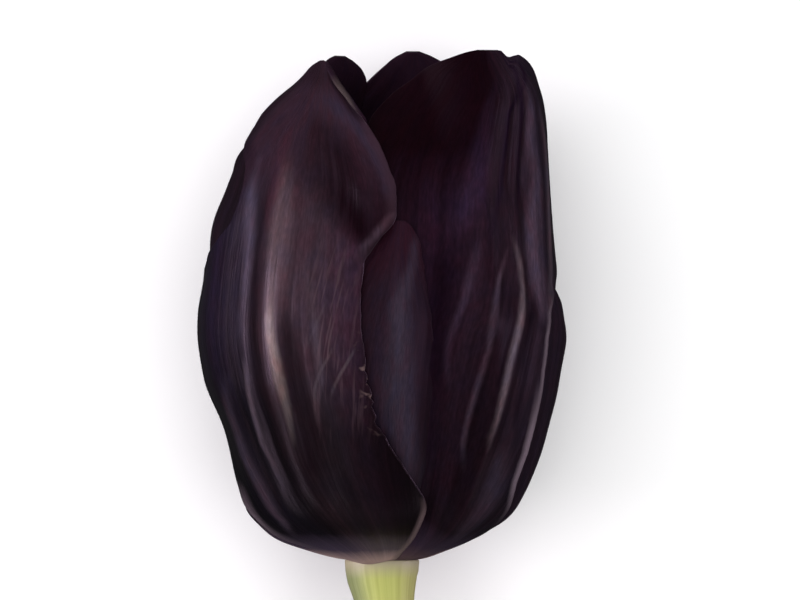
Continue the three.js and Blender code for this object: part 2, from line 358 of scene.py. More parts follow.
def marginColor(look, color, height, fromMargin):
    # a thin line along each margin, and longer lines and bands beside some stretches of it, most of
    # them painted highlights and painted shade
    for side in (-1, 1):
        nearEdge = mapRange(fromMargin[side], (look["edgeWidth"], 0), (0, look["edge"]))
        color = mixColors(nearEdge, color, look["edgeColor"])
    for side, start, end, fade, width, share, lineColor in look["edgeLines"]:
        nearEdge = mapRange(fromMargin[side], (width, width * 0.4), (0, share))
        stretch = window(height, start, end, fade)
        color = mixColors(times(nearEdge, stretch), color, lineColor)
    return color


def tornGlints(look, color, place, across, height, fromMargin):
    # painted glints where the margin is torn, and painted highlights on short slanting creases beside
    # it
    torn = times(mapRange(fromMargin[1], (1.5, 0.5)), window(height, *skinScales["torn"]))
    grain = stretchedNoise(place, skinScales["glints"], 2)
    dots = mapRange(grain, (0.58, 0.72), (0, look["glints"]))
    color = mixColors(times(torn, dots), color, look["glintColor"])
    slant = (0, 0, math.radians(skinScales["creaseSlant"]))
    slanted = plugIn(nodeFor("Mapping", place), {"Vector": place, "Rotation": slant})["Vector"]
    creases = stretchedNoise(slanted, skinScales["creases"], 2)
    zone = times(window(height, *skinScales["creased"]), window(across, *skinScales["creasedAcross"]))
    share = times(zone, mapRange(creases, (0.54, 0.68), (0, 0.55)))
    return mixColors(share, color, look["creaseHighlight"])


def petalSkin(name, look):
    material, nodes = newMaterial(name)
    place = uvPlace(nodes, "veins")
    across, up = splitUp(place)[:2]
    height = times(up, skinScales["veinLength"])
    left, right = splitUp(uvPlace(nodes, "margin"))[:2]
    fromMargin = {-1: left, 1: right}
    bands = stretchedNoise(place, skinScales["bands"], 3)
    veins = stretchedNoise(place, (look["veins"], 1.6, 1), 4)
    fineVeins = stretchedNoise(place, (look["veins"] * 3.6, 6, 1), 3)
    lines = mathNode("ADD", times(bands, 0.5), times(veins, 0.5))
    color = petalColor(look, place, across, height, lines)
    color = marginColor(look, color, height, fromMargin)
    if "glints" in look:
        color = tornGlints(look, color, place, across, height, fromMargin)
    rough = mapRange(fineVeins, (0.3, 0.7), (look["gloss"], look["gloss"] + 0.10))
    tipRough = mapRange(height, skinScales["tipGloss"], (0, look["tipGloss"] - look["gloss"]))
    # a matt bloom towards the foot
    duller = mapRange(height, skinScales["footGloss"], (0, 0.25))
    rough = mathNode("ADD", mathNode("ADD", rough, tipRough), duller)
    relief = bumpNode(veins, skinScales["veinBump"], 0.5)
    relief = bumpNode(fineVeins, skinScales["fineBump"], 0.5, relief)
    plugIn(nodes["Principled BSDF"], {
        "Base Color": color, "Roughness": rough, "IOR": 1.4, "Specular IOR Level": look["specular"],
        "Specular Tint": look["specularTint"], "Normal": relief,
    })
    return material


plainSkin = {
    "tones": [(0.0, (0.006, 0.003, 0.008)), (0.25, (0.009, 0.0035, 0.0085)),
              (0.5, (0.012, 0.005, 0.0105)), (0.75, (0.009, 0.0035, 0.0085)),
              (1.0, (0.006, 0.003, 0.008))],
    "contrast": 0.8, "veins": 46, "low": 0.7,
    "tip": (0.006, 0.0012, 0.003), "tipRange": (36, 56), "tipAcross": (-1.0, -0.9), "tipShare": 0.5,
    "streaks": [], "edgeLines": [],
    "foot": (0.245, 0.165, 0.148), "footRim": (0.026, 0.018, 0.032),
    "edge": 0.3, "edgeWidth": 0.25, "edgeColor": (0.024, 0.013, 0.018),
    "gloss": 0.28, "tipGloss": 0.36, "specular": 0.38, "specularTint": (1.0, 0.74, 0.95),
}
# A streak is a colour and then a path of (height, place across, half width, share)
leftStreaks = [
    # painted shade in the hollow inwards of the tip, down to the crease
    ((0.003, 0.0002, 0.0012), (35.6, 0.905, 0.05, 0), (37.3, 0.88, 0.07, 0.95),
     (39.5, 0.846, 0.11, 1), (42.9, 0.797, 0.16, 1), (46, 0.759, 0.19, 1), (49.4, 0.744, 0.2, 1),
     (52.1, 0.707, 0.17, 0.7), (55, 0.618, 0.1, 0)),
    # maroon beside it
    ((0.03, 0.009, 0.016), (39, 0.571, 0.05, 0), (43, 0.569, 0.06, 0.6), (49.7, 0.523, 0.06, 0.5),
     (55.1, 0.46, 0.05, 0)),
    # lilac along the tip's right side, over a darker point
    ((0.018, 0.013, 0.025), (42.9, 0.925, 0.03, 0), (44.6, 0.919, 0.035, 0.6),
     (47.8, 0.923, 0.04, 0.7), (50.9, 0.924, 0.05, 0.7), (53, 0.873, 0.08, 0.7),
     (55, 0.802, 0.12, 0.6), (56.9, 0.711, 0.15, 0)),
    ((0.008, 0.003, 0.005), (56.2, 0.689, 0.2, 0), (58.1, 0.562, 0.6, 0.7), (60.3, 0.277, 0.6, 0.9)),
    # painted shadow under the flap, and a painted highlight along its pale lower rim
    ((0.0045, 0.001, 0.0022), (27.9, 0.919, 0.05, 0), (31.5, 0.91, 0.07, 0.9),
     (36.1, 0.888, 0.06, 0.9), (39.7, 0.928, 0.04, 0)),
    ((0.034, 0.019, 0.027), (35.7, 0.834, 0.025, 0), (37.9, 0.852, 0.028, 0.8),
     (40, 0.894, 0.028, 0.9), (41.5, 0.924, 0.028, 0.9), (42.1, 0.936, 0.03, 0)),
    # the long cream streak, a painted highlight with painted shade in a dark line on either side, rosy
    # further up
    ((0.06, 0.036, 0.044), (26, 0.609, 0.02, 0), (31.5, 0.618, 0.035, 0.4), (36.3, 0.616, 0.045, 0.7),
     (41.2, 0.606, 0.05, 0.8), (45.4, 0.588, 0.045, 0.4), (49.7, 0.563, 0.04, 0)),
    ((0.0035, 0.0012, 0.0024), (10.9, 0.554, 0.018, 0), (14.5, 0.538, 0.018, 0.8),
     (19.1, 0.545, 0.018, 0.9), (24, 0.546, 0.02, 1), (28.1, 0.536, 0.022, 0.9),
     (31.5, 0.541, 0.018, 0.5), (34.5, 0.531, 0.015, 0)),
    ((0.003, 0.001, 0.002), (6.5, 0.491, 0.04, 0), (11.5, 0.613, 0.06, 0.95), (16.3, 0.648, 0.06, 1),
     (19.4, 0.652, 0.055, 1), (22.8, 0.655, 0.045, 1), (26.6, 0.647, 0.035, 0.85),
     (30.3, 0.638, 0.03, 0.4), (33.3, 0.629, 0.03, 0)),
    ((0.16, 0.122, 0.112), (13.9, 0.594, 0.014, 0), (16.3, 0.599, 0.015, 0.18),
     (19.1, 0.606, 0.02, 0.4), (21.8, 0.605, 0.025, 0.62), (25.4, 0.602, 0.024, 0.95),
     (28.5, 0.594, 0.023, 0.9), (31.5, 0.594, 0.022, 0.3), (34.5, 0.594, 0.025, 0.12),
     (40, 0.585, 0.04, 0.1), (44.2, 0.588, 0.04, 0.08), (48.4, 0.582, 0.04, 0)),
    # painted lilac highlights to its left, the lower ones slanting down to the foot, with painted shade
    # in a dark line among them
    ((0.04, 0.03, 0.048), (25.4, 0.468, 0.02, 0), (28.1, 0.477, 0.022, 0.25),
     (31.5, 0.487, 0.024, 0.5), (35.7, 0.49, 0.032, 0.85), (39.4, 0.481, 0.04, 0.9),
     (42.6, 0.461, 0.042, 0.85), (46, 0.443, 0.035, 0.4), (49.7, 0.411, 0.03, 0)),
    ((0.052, 0.037, 0.048), (6.7, 0.439, 0.018, 0), (9.6, 0.466, 0.02, 0.25),
     (12.1, 0.469, 0.02, 0.4), (14.4, 0.457, 0.02, 0.8), (16.8, 0.462, 0.02, 1),
     (19.4, 0.472, 0.018, 0.9), (22.8, 0.483, 0.016, 0.7), (25.2, 0.489, 0.015, 0)),
    ((0.003, 0.0015, 0.0025), (4.8, 0.342, 0.018, 0), (7.3, 0.395, 0.018, 0.8),
     (12, 0.419, 0.018, 0.8), (17.9, 0.416, 0.018, 0.7), (21.8, 0.441, 0.016, 0.7),
     (26, 0.454, 0.014, 0)),
    ((0.034, 0.023, 0.034), (2.9, 0.244, 0.05, 0), (4.8, 0.318, 0.05, 0.7), (9.7, 0.339, 0.06, 0.7),
     (13.3, 0.332, 0.06, 0.7), (17.9, 0.34, 0.05, 0.5), (23, 0.393, 0.04, 0)),
    # painted highlights on fine slanting creases on the right
    ((0.042, 0.029, 0.037), (16.3, 0.681, 0.015, 0), (19.1, 0.694, 0.016, 0.3),
     (22, 0.725, 0.016, 0.4), (27.2, 0.724, 0.02, 0.6), (32.1, 0.707, 0.024, 0.4),
     (36.1, 0.69, 0.03, 0)),
    ((0.075, 0.056, 0.062), (16.3, 0.678, 0.008, 0), (18.8, 0.686, 0.008, 0.2),
     (20.8, 0.698, 0.008, 0.35), (22.8, 0.721, 0.008, 0.42), (24.8, 0.753, 0.008, 0.35),
     (26, 0.766, 0.006, 0)),
    ((0.075, 0.056, 0.062), (19.6, 0.736, 0.008, 0), (21.4, 0.758, 0.008, 0.3),
     (23.4, 0.789, 0.008, 0.42), (25.1, 0.815, 0.008, 0.3), (26, 0.826, 0.006, 0)),
    ((0.06, 0.043, 0.052), (25.2, 0.686, 0.006, 0), (27.5, 0.712, 0.008, 0.35),
     (30, 0.739, 0.008, 0.35), (31.7, 0.754, 0.006, 0)),
]
rightStreaks = [
    # a painted violet sheen low on the belly
    ((0.03, 0.02, 0.031), (1.8, 0.671, 0.1, 0), (4, 0.596, 0.13, 0.45), (6.3, 0.618, 0.13, 0.6),
     (8.8, 0.606, 0.11, 0.55), (11.9, 0.572, 0.08, 0.35), (14.5, 0.549, 0.06, 0)),
    # purple over the upper half, painted shade in two dark grooves, and a painted lilac highlight
    ((0.02, 0.009, 0.024), (39, 0.295, 0.04, 0), (40.6, 0.309, 0.05, 0.5), (43.4, 0.326, 0.06, 0.8),
     (45.8, 0.338, 0.06, 0.75), (48.7, 0.338, 0.055, 0.55), (51.8, 0.334, 0.05, 0.35),
     (55.2, 0.324, 0.045, 0.2), (58.1, 0.369, 0.04, 0)),
    ((0.004, 0.0004, 0.005), (38.1, 0.376, 0.02, 0), (41.2, 0.398, 0.022, 0.6),
     (44.8, 0.425, 0.022, 0.8), (48.4, 0.429, 0.027, 0.9), (53.9, 0.431, 0.032, 0.95),
     (60.3, 0.62, 0.05, 1)),
    ((0.005, 0.0005, 0.0056), (40.9, 0.486, 0.018, 0), (44.6, 0.512, 0.02, 0.8),
     (48.4, 0.502, 0.02, 0.85), (56.3, 0.523, 0.032, 0.95), (59.9, 0.72, 0.05, 0.9)),
    ((0.052, 0.033, 0.052), (27.9, 0.618, 0.03, 0), (30.5, 0.596, 0.045, 0.6),
     (33.9, 0.583, 0.065, 0.95), (37.5, 0.568, 0.075, 0.95), (41.2, 0.575, 0.07, 0.95),
     (46, 0.598, 0.05, 0.85), (50.9, 0.579, 0.05, 0.7), (55.1, 0.583, 0.05, 0.6),
     (58.1, 0.601, 0.05, 0)),
    # paler towards the right margin
    ((0.07, 0.05, 0.064), (26, 0.646, 0.02, 0), (29.7, 0.633, 0.03, 0.5), (35.1, 0.667, 0.035, 0.5),
     (40.6, 0.683, 0.04, 0.7), (46, 0.7, 0.05, 0.8), (50.9, 0.699, 0.05, 0.6),
     (55.1, 0.662, 0.05, 0)),
    # the ridges that catch the light over the belly, and the shade beside them
    ((0.085, 0.061, 0.07), (13.1, 0.497, 0.016, 0), (15, 0.486, 0.018, 0.3),
     (17.2, 0.492, 0.018, 0.6), (20.3, 0.49, 0.02, 0.85), (23.6, 0.49, 0.02, 0.9),
     (26.4, 0.495, 0.02, 0.9), (29.3, 0.5, 0.02, 1), (32.7, 0.506, 0.018, 0.65),
     (36.1, 0.493, 0.018, 0.6), (39.4, 0.469, 0.015, 0)),
    ((0.04, 0.025, 0.037), (10.3, 0.441, 0.014, 0), (13.9, 0.414, 0.016, 0.6),
     (16.5, 0.411, 0.016, 0.6), (19.4, 0.411, 0.016, 0.65), (22, 0.415, 0.016, 0.6),
     (25.4, 0.421, 0.016, 0.7), (28.5, 0.407, 0.016, 0.65), (31.5, 0.404, 0.016, 0.75),
     (33.9, 0.411, 0.016, 1), (36.1, 0.431, 0.016, 0.5), (38.1, 0.453, 0.015, 0)),
    ((0.028, 0.015, 0.028), (20, 0.337, 0.02, 0), (23.6, 0.321, 0.02, 0.6), (26.4, 0.314, 0.02, 0.7),
     (29.3, 0.318, 0.02, 0.6), (31.7, 0.328, 0.02, 0.8), (33.9, 0.332, 0.022, 0.9),
     (36.9, 0.341, 0.02, 0.5), (38.8, 0.348, 0.02, 0)),
    ((0.003, 0.0006, 0.0026), (18.2, 0.313, 0.06, 0), (23, 0.291, 0.06, 0.9),
     (31.5, 0.262, 0.06, 0.9), (36.1, 0.255, 0.06, 0.9), (40.2, 0.25, 0.05, 0)),
    ((0.0032, 0.001, 0.003), (13.3, 0.609, 0.02, 0), (17.9, 0.569, 0.03, 0.85),
     (24.2, 0.552, 0.035, 1), (29.3, 0.544, 0.035, 0.95), (32.7, 0.566, 0.025, 0)),
    ((0.0032, 0.001, 0.003), (19.4, 0.472, 0.01, 0), (22.8, 0.471, 0.014, 0.8),
     (26, 0.465, 0.018, 0.95), (28.8, 0.455, 0.018, 0.95), (31.5, 0.459, 0.014, 0.7),
     (33.9, 0.466, 0.01, 0)),
]
frontStreaks = [
    # a painted bluish highlight up its middle
    ((0.03, 0.022, 0.035), (6.3, 0.95, 0.08, 0), (9.4, 0.826, 0.12, 0.4), (13.1, 0.733, 0.16, 0.65),
     (16.3, 0.685, 0.17, 0.9), (19.6, 0.658, 0.17, 0.95), (23, 0.657, 0.15, 0.95),
     (27.2, 0.627, 0.12, 1), (31.2, 0.604, 0.11, 1), (33.9, 0.658, 0.12, 0.7),
     (36.1, 0.755, 0.13, 0.5), (38.5, 0.852, 0.15, 0.5), (40.2, 1.018, 0.15, 0)),
]
# What differs from the plain skin on each tepal. Edge lines are (side, start, end, fade, width,
# share, color), with the heights that they start and end at.
skinLooks = {
    "outer_tepal_left": {
        # tones across it: its own colour, with a painted sheen right of its midrib
        "tones": [(0.18, (0.003, 0.002, 0.005)), (0.34, (0.0065, 0.0035, 0.01)),
                  (0.46, (0.006, 0.004, 0.009)), (0.53, (0.006, 0.0025, 0.005)),
                  (0.6, (0.022, 0.011, 0.015)), (0.71, (0.023, 0.013, 0.019)),
                  (0.82, (0.018, 0.0075, 0.0145)), (0.88, (0.011, 0.0035, 0.007)),
                  (0.95, (0.006, 0.0015, 0.003))],
        "low": 0.22, "tip": (0.02, 0.0085, 0.015), "tipRange": (42, 50), "tipShare": 0.85,
        "specular": 0.27,
        "streaks": leftStreaks,
        "edgeLines": [
            # painted shadow just inside the rolled rim near the tip, then a painted highlight along the
            # rim
            (1, 53.0, 58.6, 0.8, 1.5, 0.85, (0.0035, 0.0008, 0.0024)),
            (1, 54.9, 58.0, 0.6, 0.4, 0.8, (0.085, 0.068, 0.06)),
            (1, 41, 52, 2.0, 1.5, 0.6, (0.026, 0.012, 0.019)),
            # a painted highlight along the right margin at the foot
            (1, -0.5, 6.8, 1.2, 0.9, 0.85, (0.088, 0.058, 0.06)),
            # a painted highlight along the flared left margin low down
            (-1, 3, 7.5, 2.5, 3.6, 0.85, (0.095, 0.07, 0.086)),
            # painted shade along the left margin towards the tip, where it turns away
            (-1, 47.5, 59, 3, 3.2, 0.8, (0.007, 0.0025, 0.006)),
        ],
        # painted glints on the torn margin, and painted highlights on the creases beside it
        "glints": 0.7, "glintColor": (0.15, 0.098, 0.092), "creaseHighlight": (0.065, 0.038, 0.046),
    },
    "outer_tepal_right": {
        "tones": [(0.08, (0.01, 0.003, 0.007)), (0.28, (0.009, 0.003, 0.008)),
                  (0.36, (0.01, 0.004, 0.008)), (0.47, (0.009, 0.0035, 0.0065)),
                  (0.54, (0.01, 0.0045, 0.008)), (0.66, (0.011, 0.006, 0.011)),
                  (0.85, (0.008, 0.0045, 0.0085))],
        "foot": (0.052, 0.031, 0.033), "footRim": (0.014, 0.009, 0.019),
        # the dark tip tone is painted shade over the upper left, where the tepal turns inwards away
        # from the light
        "tip": (0.0035, 0.0003, 0.0012), "tipAcross": (0.46, 0.34), "tipShare": 0.95,
        "tipRange": (42, 50), "gloss": 0.36, "specular": 0.13,
        "streaks": rightStreaks,
        "edgeLines": [
            # painted highlights along the flared right margin
            (1, 7, 19, 3.0, 1.7, 0.95, (0.13, 0.098, 0.118)),
            (1, 18, 30, 2.5, 0.9, 0.85, (0.1, 0.076, 0.092)),
        ],
    },
    "outer_tepal_back": {"tip": (0.01, 0.0035, 0.008), "gloss": 0.4, "tipGloss": 0.44},
    "inner_tepal_front": {
        "tones": [(0.3, (0.009, 0.003, 0.006)), (0.55, (0.014, 0.007, 0.013)),
                  (0.8, (0.008, 0.003, 0.0065)), (0.95, (0.004, 0.0012, 0.003))],
        "contrast": 0.4, "veins": 24, "tip": (0.018, 0.004, 0.009), "tipRange": (33, 38),
        "tipShare": 0.6, "edge": 0.0, "low": 0.85, "gloss": 0.42, "tipGloss": 0.46, "specular": 0.13,
        "streaks": frontStreaks,
    },
    "inner_tepal_left": {
        "tones": [(0.0, (0.006, 0.003, 0.007)), (0.5, (0.008, 0.0035, 0.008)),
                  (1.0, (0.003, 0.0012, 0.003))],
        "low": 0.9, "gloss": 0.4, "tipGloss": 0.44, "specular": 0.24,
    },
    "inner_tepal_right": {"low": 0.9, "gloss": 0.42, "tipGloss": 0.46, "specular": 0.25},
}
insideLook = {
    "tones": [(0.0, (0.04, 0.017, 0.034)), (0.5, (0.06, 0.027, 0.052)),
              (1.0, (0.04, 0.017, 0.034))],
    "contrast": 0.6, "low": 1.0, "tip": (0.009, 0.003, 0.007), "tipRange": (40, 53),
    "tipShare": 0.95, "edge": 0.0, "gloss": 0.7, "tipGloss": 0.7, "specular": 0.2,
}

print("tepals")


def fold(rise, width, *path):
    # a lengthwise ridge or groove along a path of (height, degrees)
    return {"rise": rise, "width": width, "low": path[0][0], "high": path[-1][0],
            "curve": knotCurve(path)}


# Each tepal lies between two margins, given as (height, degrees) from its foot to its tip
crescent = knotCurve([(0, 0.9), (2.4, 1.12), (5, 1.46), (8, 1.12), (12, 0.82), (17, 0.54), (21.8, 0.5),
                      (24.2, 0.64), (26.6, 0.82), (29, 0.66), (31.5, 0.9), (35, 0.3), (38, 0)])
tepals = {
    "outer_tepal_left": {
        "whorl": "outer", "seed": 3,
        "from": [(-0.05, -50), (1.2, -59), (3.6, -73), (8.5, -78), (13, -97), (20, -107), (28, -109),
                 (32, -104), (35, -90), (36.9, -76), (38.6, -66), (41, -59), (44, -57), (47.2, -59),
                 (51.3, -73), (55, -79), (58, -72), (59.8, -60), (60.4, -53)],
        "to": [(-0.05, 19.5), (1.2, 17.8), (3.6, 18.3), (6.2, 18.9), (7.6, 17.5), (9, 13.9),
               (10.9, 9.3), (14.5, 2.1), (17, -1.7), (24, -5), (31.5, -6.5), (36, -5.5), (38.6, -0.5),
               (41.4, 4.8), (44, 5), (47.2, 2.8), (51.2, -3), (55.3, -16), (58.1, -31), (59.8, -43),
               (60.4, -49)],
        "rise": lambda height, degrees: (
            0.9 * bump(height, 46, 9) * smooth(degrees, -14, 4)
            - 0.4 * bump(height, 14.5, 8) * bump(degrees, -90, 35)
            - 0.42 * bump(height, 4.6, 2.6) * bump(degrees, -90, 35)
            - 0.35 * bump(height, 34.8, 5) * bump(degrees, -92, 30)
            + 0.8 * smooth(height, 54, 60) * smooth(degrees, -75, -60)),
        "midVein": [(0, -18), (6, -32), (14, -42), (28, -47), (45, -46), (54, -46), (60.4, -51)],
        "veinSpread": [(0, 44), (6, 52), (20, 60), (44, 58), (52, 44), (58, 20), (60.4, 8)],
        "folds": [
            fold(0.42, 9, (5, -26), (15, -34), (24, -37), (33, -37.5), (42, -37), (51, -36)),
            fold(0.13, 5, (3.8, -35), (6.9, -41), (11.3, -44), (15.7, -47), (22, -49)),
            fold(-0.13, 6, (8, -36), (14, -41), (24, -44.5), (38, -45)),
            fold(-0.35, 10, (39, -4), (41, -8), (43.6, -14), (46.5, -22), (52, -33)),
            fold(0.28, 5.5, (33.4, -17), (37.2, -8), (39.1, -1.6), (41.6, 5)),
            fold(-0.4, 8, (32, -10), (35.5, -4), (38.2, 1)),
            fold(-0.34, 9, (8, -18), (12, -18), (17, -19.5), (21.8, -24), (27, -24), (31, -24)),
        ],
        "ragged": {"side": 1, "middle": 20, "reach": 8, "amount": 1.5},
        "footDrop": {"degrees": -22, "reach": 40, "depth": 0.5, "fade": (0.3, 2.6)},
        "rolls": {1: [(0, 0), (50, 0), (53.5, 0.18), (57, 0.34), (59.3, 0.2), (60.4, 0)]},
        # a painted highlight on the rolled rim near the tip, seen from inside
        "insideLines": [(1, 54.4, 57.6, 0.8, 0.35, 0.4, (0.085, 0.066, 0.058))],
    },
    "outer_tepal_right": {
        "whorl": "outer", "seed": 11,
        "from": [(-0.05, 21), (1.2, 17.6), (2, 15.5), (3.6, 13), (5, 11), (8, 8), (12, 1), (20, -5),
                 (30, -8), (40, -10), (48, -11), (53, -7), (56.2, 6), (57.8, 17), (59.8, 28),
                 (60.6, 33.5), (61.2, 38), (61.5, 42)],
        "to": [(-0.05, 66), (2, 71), (4, 74), (6, 70), (8, 64), (10, 60.5), (13, 59.5), (20, 59),
               (26, 60), (29.5, 62.5), (31.5, 67.5), (33.5, 76), (36, 86), (40, 92), (45, 92), (51, 89),
               (55.1, 83), (57.4, 76), (59, 71), (60.2, 66), (61, 60), (61.5, 50)],
        "rise": lambda height, degrees: (
            -2.9 * smooth(height, 0, 4.6) * (1 - smooth(degrees, 22, 40))
            + 1.9 * smooth(height, 44, 60) * smooth(degrees, -8, 46)
            * (1 - smooth(degrees, 48, 82))),
        "dent": {"across": 15.3, "width": 1.0, "depth": 0.75, "start": 58.5},
        "midVein": [(0, 40), (6, 38), (15, 40), (25, 44), (35, 51), (45, 55), (55, 58), (61.5, 48)],
        "veinSpread": [(0, 34), (6, 44), (20, 56), (44, 60), (52, 50), (58, 30), (61.5, 9)],
        "folds": [
            fold(0.26, 4.5, (12, 38), (16.6, 40), (24.6, 44), (32.3, 50), (37, 52), (44, 53)),
            fold(0.30, 4, (11, 27), (14.9, 28), (23.4, 31), (30.6, 37), (36, 41)),
            fold(0.2, 5, (20, 19), (24.2, 20), (28.7, 23), (38, 31)),
            fold(-0.28, 3.5, (42, 49), (44, 50), (50, 53), (57, 57)),
            fold(-0.28, 3.5, (42, 56), (44, 57), (50, 61), (57, 67)),
            fold(-0.4, 9, (26, 17), (28, 17.5), (33, 18), (39, 19)),
        ],
    },
    "outer_tepal_back": {
        "whorl": "outer", "seed": 23,
        "from": [(-0.05, 69), (0.8, 82), (2.2, 100), (5, 115), (8, 121), (15, 120), (25, 117),
                 (35, 119), (45, 126), (52, 134), (57, 141), (59.8, 148.5), (61.2, 155), (61.9, 161)],
        "to": [(-0.05, 309), (0.8, 302), (1.2, 299.5), (2.2, 292), (3.6, 279), (6, 260), (9, 247),
               (25, 243), (35, 240), (45, 230), (52, 214), (56, 198), (58.4, 187), (59.9, 180),
               (61.2, 173), (61.9, 167)],
        "rise": lambda height, degrees: -0.42 * bump(height, 4.6, 2.6) * bump(degrees, 270, 35),
    },
    "inner_tepal_front": {
        "whorl": "inner", "seed": 31,
        "from": [(-0.05, -20), (5, -20), (12, -26), (20, -29), (28, -26), (34, -18), (38, -8),
                 (40.5, 0.5), (41.3, 4.5)],
        "to": [(-0.05, 10), (5, 14), (7.8, 18), (12, 19.4), (19.4, 19.4), (28, 17.8), (35, 15.8),
               (38.8, 14.2), (40.6, 11.5), (41.3, 8.5)],
        "rise": lambda height, degrees: (
            0.35 * bump(degrees, 8, 9) * smooth(height, 8, 16) - 1.25 * smooth(degrees, 4, 19.4)),
        "midVein": [(0, -4), (20, -3), (35, 3), (41.3, 6.5)],
        "veinSpread": [(0, 20), (12, 27), (28, 26), (36, 14), (41.3, 5)],
    },
    "inner_tepal_left": {
        "whorl": "inner", "seed": 43,
        "from": [(-0.05, -160), (15, -160), (35, -161), (48, -164), (55, -168), (58.8, -170),
                 (60.4, -165), (61.3, -157), (61.9, -147)],
        "to": [(-0.05, -74), (5, -70), (15, -71), (25, -70), (40, -60), (45, -54), (48, -56), (52, -66),
               (55, -77), (57.5, -92), (60, -114), (61.4, -126), (61.9, -134)],
        "rise": lambda height, degrees: (
            0.9 * bump(height, 7.8, 5.2) * bump(degrees, -97, 32)
            + 0.65 * bump(height, 39, 6.5) * bump(degrees, -90, 24)
            + 0.5 * bump(height, 50.2, 3.2) * bump(degrees, -90, 24)),
    },
    "inner_tepal_right": {
        "whorl": "inner", "seed": 59,
        "from": [(-0.05, 60), (8, 54), (15, 50), (25, 50), (35, 58), (45, 72), (52, 86), (56, 100),
                 (57.6, 112), (58, 118)],
        "to": [(-0.05, 160), (25, 161), (45, 157), (52, 150), (56, 140), (57.6, 130), (58, 124)],
        "rise": lambda height, degrees: crescent(height) * bump(degrees, 92, 28),
    },
}
whorls = {    # mm: depth under the cup's surface, height of the three soft ribs, and thickness
    "outer": {"layer": 0, "ridge": 0.35, "thickness": 0.62},
    "inner": {"layer": 1.5, "ridge": 0.2, "thickness": 0.55},
}
petalMesh = {
    "columns": 96, "rows": 180, "footCrowding": 1.25, "tipCrowding": 1.35,
    # unevenness in the outline: degrees, then noises of (pace, place, seed, weight)
    "marginWave": 0.5, "waves": [(0.45, 9.1, 0, 1), (1.3, 5.3, 7, 0.5)],
    "tears": [(1.1, 3.7, 1, 1), (3.2, 8.1, 2, 0.6)],    # the same for a ragged margin
    # soft folds about 4 mm wide, and veins a bit over 1 mm apart: (mm, across, along, seed)
    "relief": [(0.17, 4.5, 0.03, 0), (0.035, 16, 0.04, 3)],
    # mm from the foot or the tip over which the waves, ribs and unevenness come in
    "waveFade": (4, 12), "ribFade": (3, 14), "footFade": (2, 9), "tipFade": (0.5, 7),
    # share of the half width beyond which a margin rolls, its turn, and mm of radius for all of it
    "rollStart": 0.9, "rollTurn": 200, "rollRadius": 0.25,
    "edgeThinning": 0.62,
}


def foldRise(tepal, height, degrees):
    # all the tepal's folds, which fade out at the ends of their paths
    rise = 0.0
    for part in tepal.get("folds", []):
        low, high = part["low"], part["high"]
        if low < height < high:
            fadeIn, fadeOut = (2, 1.5) if high - low < 10 else (4, 4)
            fade = smooth(height, low, low + fadeIn) * (1 - smooth(height, high - fadeOut, high))
            rise += part["rise"] * fade * bump(degrees, part["curve"](height), part["width"])
    return rise


def tepalRow(tepal, margins, tipAlong, share):
    eased = 1 - (1 - share ** petalMesh["footCrowding"]) ** petalMesh["tipCrowding"]
    row = cupRow(tipAlong * eased)
    height, seed = row["height"], tepal["seed"]
    wave = petalMesh["marginWave"] * smooth(height, *petalMesh["waveFade"])
    ragged = tepal.get("ragged")
    ends = []
    for side, margin in zip((-1, 1), margins):
        end = margin(height)
        uneven = [(wave, petalMesh["waves"])]
        if ragged and ragged["side"] == side:
            tear = ragged["amount"] * bump(height, ragged["middle"], ragged["reach"])
            uneven.append((tear, petalMesh["tears"]))
        for amount, noises in uneven:
            for pace, place, shift, weight in noises:
                end += weight * amount * noiseAt(height * pace, side * place, seed + shift)
        ends.append(end)
    row["ends"] = ends
    row["middle"], row["half"] = sum(ends) / 2, (ends[1] - ends[0]) / 2
    row["midVein"] = tepal["midCurve"](height) if "midCurve" in tepal else row["middle"]
    row["spread"] = tepal["spreadCurve"](height) if "spreadCurve" in tepal else row["half"]
    return row


def tepalRise(tepal, height, degrees, veinPlace, calm):
    # the tepal's own form, three soft ribs, uneven folds, veins, and the folds with a path
    seed = tepal["seed"]
    rib = min(1.0, max(-1.0, veinPlace))
    rise = tepal["rise"](height, degrees)
    rise += (whorls[tepal["whorl"]]["ridge"] * smooth(height, *petalMesh["ribFade"])
             * (1 - rib ** 2) * calm * (0.5 - 0.5 * math.cos(3 * math.pi * rib)))
    for amount, across, along, shift in petalMesh["relief"]:
        rise += amount * calm * noiseAt(veinPlace * across, height * along, seed + shift)
    return rise + foldRise(tepal, height, degrees)


def rollMargin(tepal, row, across, degrees, rise, perDegree):
    # a margin that rolls outwards, over its last few columns
    side = 1 if across > 0 else -1
    start = petalMesh["rollStart"]
    turn = max(0.0, (abs(across) - start) / (1 - start))
    rolls = tepal.get("rollCurves", {})
    radius = rolls[side](row["height"]) if side in rolls else 0
    if radius > 0 and turn > 0:
        weight = smooth(radius, 0, petalMesh["rollRadius"])
        turned = turn * math.radians(petalMesh["rollTurn"])
        margin = row["ends"][1] if side > 0 else row["ends"][0]
        rolled = margin + side * radius * (math.sin(turned) - 1) / perDegree
        degrees = blend(degrees, rolled, weight)
        rise += weight * radius * (1 - math.cos(turned))
    return degrees, rise


